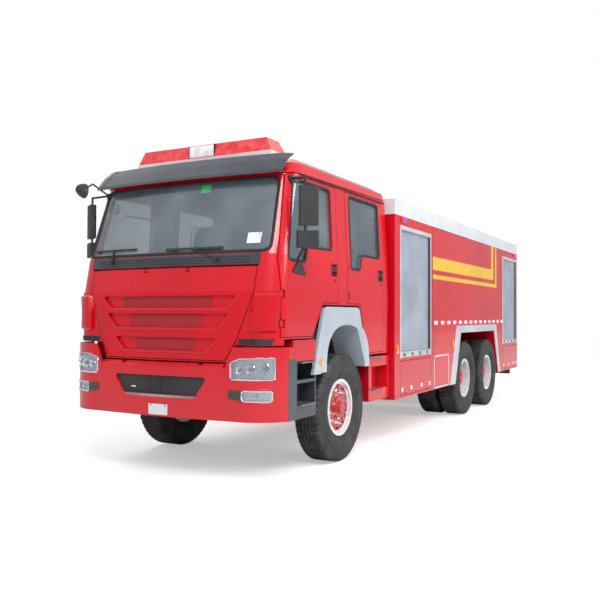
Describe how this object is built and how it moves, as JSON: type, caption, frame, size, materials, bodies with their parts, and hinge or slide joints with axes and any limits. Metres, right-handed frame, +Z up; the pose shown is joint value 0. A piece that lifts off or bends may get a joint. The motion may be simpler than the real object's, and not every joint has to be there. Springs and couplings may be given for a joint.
{
  "type": "fire truck",
  "caption": "Three-axle fire truck with a tilting crew cab, roller-shutter lockers, fold-down step panels and a roof water monitor.",
  "frame": {"origin": "centre of the bounding box in plan, on the ground under the tyres", "axes": "+X to the truck's left, +Y to its tail, +Z up; the front faces -Y"},
  "size_m": [2.8354, 9.59, 3.26],
  "materials": {
    "red_paint": "gloss",
    "white_paint": "gloss",
    "grey_paint": "gloss",
    "dark_chassis": "satin",
    "engine_iron": "rough",
    "shutter_aluminium": "satin",
    "bright_trim": "satin",
    "black_plastic": "satin",
    "smoked_plastic": "gloss",
    "lamp_lens": "clear gloss",
    "red_lens": "clear gloss",
    "tyre_rubber": "matt",
    "rim_paint": "gloss",
    "window_glass": "clear",
    "seat_cloth": "woven"
  },
  "bodies": {
    "chassis": {"ladder_frame": "dark_chassis", "axles": "dark_chassis", "leaf_springs": "dark_chassis", "engine_block": "engine_iron", "driveline": "dark_chassis", "bumper": "red_paint", "bumper_grille": "black_plastic", "front_lamps": "lamp_lens", "front_steps": "red_paint", "side_steps": "red_paint", "front_fenders": "grey_paint", "body_front_locker": "red_paint", "body_tank_section": "red_paint", "body_pump_bay": "red_paint", "lower_lockers": "red_paint", "arch_trims": "bright_trim", "shutters": "shutter_aluminium", "roof_parapet": "white_paint", "body_lamps": "lamp_lens", "rear_ladder": "bright_trim"},
    "cab": {"cab_shell": "red_paint", "windscreen": "window_glass", "wipers": "black_plastic", "sun_visor": "smoked_plastic", "light_bar_base": "bright_trim", "light_bar_lenses": "red_lens", "dashboard": "black_plastic", "seats": "seat_cloth"},
    "cab_front_panel": {"front_panel": "red_paint"},
    "door_front_left": {"front_door_left": "red_paint", "front_door_glass_left": "window_glass", "mirrors_left": "black_plastic"},
    "door_rear_left": {"rear_door_left": "red_paint", "rear_door_glass_left": "window_glass"},
    "steering_left": {"knuckle_left": "dark_chassis"},
    "wheel_front_left": {"front_tyre_left": "tyre_rubber", "front_rim_left": "rim_paint"},
    "wheels_rear_1_left": {"rear_tyres_1_left": "tyre_rubber", "rear_rims_1_left": "rim_paint"},
    "wheels_rear_2_left": {"rear_tyres_2_left": "tyre_rubber", "rear_rims_2_left": "rim_paint"},
    "flap_front_left": {"front_flap_left": "red_paint"},
    "flap_rear_left": {"rear_flap_left": "red_paint"},
    "door_front_right": {"front_door_right": "red_paint", "front_door_glass_right": "window_glass", "mirrors_right": "black_plastic"},
    "door_rear_right": {"rear_door_right": "red_paint", "rear_door_glass_right": "window_glass"},
    "steering_right": {"knuckle_right": "dark_chassis"},
    "wheel_front_right": {"front_tyre_right": "tyre_rubber", "front_rim_right": "rim_paint"},
    "wheels_rear_1_right": {"rear_tyres_1_right": "tyre_rubber", "rear_rims_1_right": "rim_paint"},
    "wheels_rear_2_right": {"rear_tyres_2_right": "tyre_rubber", "rear_rims_2_right": "rim_paint"},
    "flap_front_right": {"front_flap_right": "red_paint"},
    "flap_rear_right": {"rear_flap_right": "red_paint"},
    "tie_rod": {"track_rod": "dark_chassis"},
    "monitor_head": {"monitor_swivel": "red_paint"},
    "monitor_tube": {"monitor_barrel": "red_paint"}
  },
  "joints": [
    {"name": "cab_tilt", "type": "hinge", "parent": "chassis", "child": "cab", "pos_m": [0, -4.695, 0.95], "axis": [1, 0, 0], "range_deg": [0, 45]},
    {"name": "front_panel_lift", "type": "hinge", "parent": "cab", "child": "cab_front_panel", "pos_m": [0, -4.66, 1.95], "axis": [-1, 0, 0], "range_deg": [0, 70]},
    {"name": "front_door_left_hinge", "type": "hinge", "parent": "cab", "child": "door_front_left", "pos_m": [1.172, -4.51, 1.585], "axis": [0, 0, -1], "range_deg": [0, 70]},
    {"name": "rear_door_left_hinge", "type": "hinge", "parent": "cab", "child": "door_rear_left", "pos_m": [1.18, -3.14, 1.885], "axis": [0, 0, -1], "range_deg": [0, 70]},
    {"name": "steer_left", "type": "hinge", "parent": "chassis", "child": "steering_left", "pos_m": [0.9, -3.195, 0.5625], "axis": [0, 0, 1], "range_deg": [-35, 35]},
    {"name": "wheel_front_left_spin", "type": "hinge", "parent": "steering_left", "child": "wheel_front_left", "pos_m": [1.011, -3.195, 0.5625], "axis": [1, 0, 0], "continuous": true},
    {"name": "wheels_rear_1_left_spin", "type": "hinge", "parent": "chassis", "child": "wheels_rear_1_left", "pos_m": [0.916, 1.13, 0.5625], "axis": [1, 0, 0], "continuous": true},
    {"name": "wheels_rear_2_left_spin", "type": "hinge", "parent": "chassis", "child": "wheels_rear_2_left", "pos_m": [0.916, 2.48, 0.5625], "axis": [1, 0, 0], "continuous": true},
    {"name": "flap_front_left_fold", "type": "hinge", "parent": "chassis", "child": "flap_front_left", "pos_m": [1.242, -1.1875, 0.564], "axis": [0, 1, 0], "range_deg": [0, 90]},
    {"name": "flap_rear_left_fold", "type": "hinge", "parent": "chassis", "child": "flap_rear_left", "pos_m": [1.242, 4.0225, 0.564], "axis": [0, 1, 0], "range_deg": [0, 90]},
    {"name": "front_door_right_hinge", "type": "hinge", "parent": "cab", "child": "door_front_right", "pos_m": [-1.172, -4.51, 1.585], "axis": [0, 0, 1], "range_deg": [0, 70]},
    {"name": "rear_door_right_hinge", "type": "hinge", "parent": "cab", "child": "door_rear_right", "pos_m": [-1.18, -3.14, 1.885], "axis": [0, 0, 1], "range_deg": [0, 70]},
    {"name": "steer_right", "type": "hinge", "parent": "chassis", "child": "steering_right", "pos_m": [-0.9, -3.195, 0.5625], "axis": [0, 0, 1], "range_deg": [-35, 35]},
    {"name": "wheel_front_right_spin", "type": "hinge", "parent": "steering_right", "child": "wheel_front_right", "pos_m": [-1.011, -3.195, 0.5625], "axis": [1, 0, 0], "continuous": true},
    {"name": "wheels_rear_1_right_spin", "type": "hinge", "parent": "chassis", "child": "wheels_rear_1_right", "pos_m": [-0.916, 1.13, 0.5625], "axis": [1, 0, 0], "continuous": true},
    {"name": "wheels_rear_2_right_spin", "type": "hinge", "parent": "chassis", "child": "wheels_rear_2_right", "pos_m": [-0.916, 2.48, 0.5625], "axis": [1, 0, 0], "continuous": true},
    {"name": "flap_front_right_fold", "type": "hinge", "parent": "chassis", "child": "flap_front_right", "pos_m": [-1.242, -1.1875, 0.564], "axis": [0, -1, 0], "range_deg": [0, 90]},
    {"name": "flap_rear_right_fold", "type": "hinge", "parent": "chassis", "child": "flap_rear_right", "pos_m": [-1.242, 4.0225, 0.564], "axis": [0, -1, 0], "range_deg": [0, 90]},
    {"name": "tie_rod_pivot", "type": "hinge", "parent": "steering_left", "child": "tie_rod", "pos_m": [0.82, -2.975, 0.5155], "axis": [0, 0, 1], "range_deg": [-35, 35]},
    {"name": "monitor_turn", "type": "hinge", "parent": "chassis", "child": "monitor_head", "pos_m": [0, -0.195, 2.96], "axis": [0, 0, 1], "range_deg": [-170, 170]},
    {"name": "monitor_raise", "type": "hinge", "parent": "monitor_head", "child": "monitor_tube", "pos_m": [0, -0.195, 3.09], "axis": [-1, 0, 0], "range_deg": [-10, 60]}
  ],
  "couplings": [
    {"joint": "steer_right", "follows": "steer_left", "ratio": 1},
    {"joint": "tie_rod_pivot", "follows": "steer_left", "ratio": -1}
  ]
}
